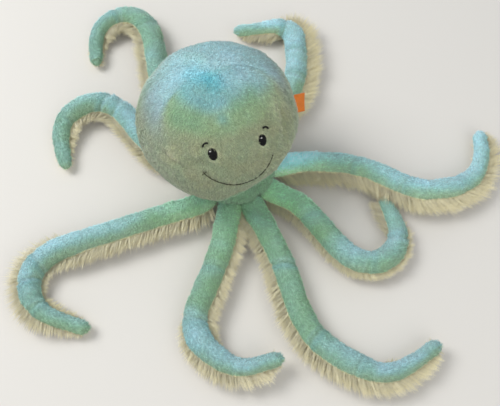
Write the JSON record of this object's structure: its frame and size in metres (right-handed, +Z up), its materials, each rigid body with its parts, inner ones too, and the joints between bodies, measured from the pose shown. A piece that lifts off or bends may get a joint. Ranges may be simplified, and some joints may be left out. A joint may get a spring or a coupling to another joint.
{
  "type": "plush octopus toy",
  "caption": "Stuffed plush octopus lying with its arms spread: ball head with an embroidered face over a round base, curling arms of short plush on top and long fur below, side tag.",
  "frame": {"origin": "middle of the base panel on its underside, on the floor that the toy lies on", "axes": "+Z up; the face looks along -Y and upwards; +X is the side of the toy's own left eye and of its tag; azimuth 0 is -Y and 90 degrees is +X"},
  "size_m": [0.549, 0.5523, 0.1734],
  "materials": {
    "mint_plush": "short soft pile plush",
    "cream_fur": "long soft pile fur",
    "fibre_filling": "loose fibre filling, out of sight",
    "black_thread": "satin-stitched thread with a light sheen",
    "white_thread": "satin-stitched thread",
    "charcoal_thread": "sewn thread",
    "amber_ribbon": "woven ribbon with a soft sheen"
  },
  "bodies": {
    "head": {"head_front_panel": "mint_plush", "head_left_gusset": "mint_plush", "head_right_gusset": "mint_plush", "head_back_panel": "mint_plush", "head_filling": "fibre_filling", "base_panel": "mint_plush", "eye_left": "black_thread", "eye_right": "black_thread", "eye_glint_left": "white_thread", "eye_glint_right": "white_thread", "brow_left": "black_thread", "brow_right": "black_thread", "smile_stitches": "charcoal_thread", "closing_stitches": "charcoal_thread"},
    "arm_1": {"arm_1_plush": "mint_plush", "arm_1_fur": "cream_fur", "arm_1_filling": "fibre_filling"},
    "arm_2": {"arm_2_plush": "mint_plush", "arm_2_fur": "cream_fur", "arm_2_filling": "fibre_filling"},
    "arm_3": {"arm_3_plush": "mint_plush", "arm_3_fur": "cream_fur", "arm_3_filling": "fibre_filling"},
    "arm_4": {"arm_4_plush": "mint_plush", "arm_4_fur": "cream_fur", "arm_4_filling": "fibre_filling"},
    "arm_5": {"arm_5_plush": "mint_plush", "arm_5_fur": "cream_fur", "arm_5_filling": "fibre_filling"},
    "arm_6": {"arm_6_plush": "mint_plush", "arm_6_fur": "cream_fur", "arm_6_filling": "fibre_filling"},
    "arm_7": {"arm_7_plush": "mint_plush", "arm_7_fur": "cream_fur", "arm_7_filling": "fibre_filling"},
    "arm_8": {"arm_8_plush": "mint_plush", "arm_8_fur": "cream_fur", "arm_8_filling": "fibre_filling"},
    "tag": {"side_tag": "amber_ribbon"}
  },
  "joints": [
    {"name": "arm_1_hinge", "type": "hinge", "parent": "head", "child": "arm_1", "pos_m": [-0.02008, 0.04117, 0.0063], "axis": [0.8988, 0.4384, 0], "range_deg": [-20, 12]},
    {"name": "arm_2_hinge", "type": "hinge", "parent": "head", "child": "arm_2", "pos_m": [-0.03884, 0.02427, 0.0063], "axis": [0.5299, 0.848, 0], "range_deg": [-35, 18]},
    {"name": "arm_3_hinge", "type": "hinge", "parent": "head", "child": "arm_3", "pos_m": [-0.04184, -0.01863, 0.0063], "axis": [-0.4067, 0.9135, 0], "range_deg": [-35, 35]},
    {"name": "arm_4_hinge", "type": "hinge", "parent": "head", "child": "arm_4", "pos_m": [-0.0222, -0.04006, 0.0063], "axis": [-0.8746, 0.4848, 0], "range_deg": [-30, 50]},
    {"name": "arm_5_hinge", "type": "hinge", "parent": "head", "child": "arm_5", "pos_m": [0.0024, -0.04574, 0.0063], "axis": [-0.9986, -0.0523, 0], "range_deg": [-35, 35]},
    {"name": "arm_6_hinge", "type": "hinge", "parent": "head", "child": "arm_6", "pos_m": [0.0282, -0.03609, 0.0063], "axis": [-0.788, -0.6157, 0], "range_deg": [-35, 50]},
    {"name": "arm_7_hinge", "type": "hinge", "parent": "head", "child": "arm_7", "pos_m": [0.04463, -0.0103, 0.0063], "axis": [-0.225, -0.9744, 0], "range_deg": [-20, 30]},
    {"name": "arm_8_hinge", "type": "hinge", "parent": "head", "child": "arm_8", "pos_m": [0.03295, 0.03182, 0.0063], "axis": [0.6947, -0.7193, 0], "range_deg": [-35, 30]},
    {"name": "tag_hinge", "type": "hinge", "parent": "head", "child": "tag", "pos_m": [0.07172, 0.0184, 0.08019], "axis": [0.168, 0.5377, 0.8263], "range_deg": [-60, 60]}
  ]
}
